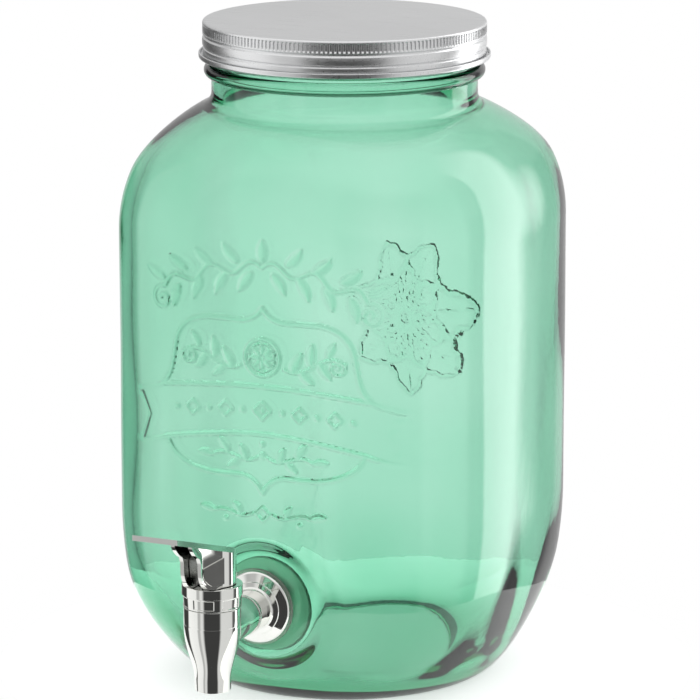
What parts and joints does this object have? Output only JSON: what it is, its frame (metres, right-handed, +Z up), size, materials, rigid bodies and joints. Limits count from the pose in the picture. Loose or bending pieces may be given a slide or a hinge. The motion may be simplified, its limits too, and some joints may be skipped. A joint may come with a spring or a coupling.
{
  "type": "beverage dispenser",
  "caption": "Rounded-square green glass drinks jar with a screw lid and a press-down lever tap low on its front face.",
  "frame": {"origin": "centre of the jar's flat underside, on the surface that it stands on, on the jar's own axis", "axes": "+Z up the jar's axis, -Y out through the tap, +X to the right as seen from the tap's side"},
  "size_m": [0.19, 0.2958, 0.31],
  "materials": {
    "green_glass": "mint green pressed glass, clear and glossy",
    "lid_metal": "satin, finely brushed",
    "tap_chrome": "mirror bright plating",
    "plain_steel": "satin",
    "clear_silicone": "milky translucent",
    "black_rubber": "matt",
    "white_plastic": "matt"
  },
  "bodies": {
    "root": {"glass_jar": "green_glass", "tap_shank": "tap_chrome", "shank_o_ring": "black_rubber", "outer_gasket": "clear_silicone", "inner_gasket": "clear_silicone", "clamp_washer": "plain_steel", "lock_nut": "white_plastic", "tap_body": "tap_chrome", "bonnet": "tap_chrome", "bonnet_gasket": "black_rubber", "stem_o_ring": "black_rubber", "return_spring": "plain_steel"},
    "liner": {"lid_liner": "white_plastic"},
    "lid": {"lid_cap": "lid_metal"},
    "stem": {"valve_stem": "plain_steel", "valve_seal": "clear_silicone", "spring_seat": "white_plastic", "lever_pin": "plain_steel"},
    "lever": {"lever": "tap_chrome"}
  },
  "joints": [
    {"name": "lid_lift", "type": "slide", "parent": "root", "child": "liner", "axis": [0, 0, 1], "range_m": [0, 0.02]},
    {"name": "lid_turn", "type": "hinge", "parent": "liner", "child": "lid", "pos_m": [0, 0, 0.3], "axis": [0, 0, 1], "range_deg": [0, 1440]},
    {"name": "stem_lift", "type": "slide", "parent": "root", "child": "stem", "axis": [0, 0, 1], "range_m": [0, 0.0039], "stiffness_N_per_m": 700, "springref_m": -0.01, "deforming": ["return_spring"]},
    {"name": "lever_press", "type": "hinge", "parent": "stem", "child": "lever", "pos_m": [0, -0.144, 0.084], "axis": [1, 0, 0], "range_deg": [0, 20]}
  ],
  "couplings": [
    {"joint": "lid_lift", "follows": "lid_turn", "m_per_rad": 0.00079577},
    {"joint": "lever_press", "follows": "stem_lift", "rad_per_m": 89.286}
  ]
}
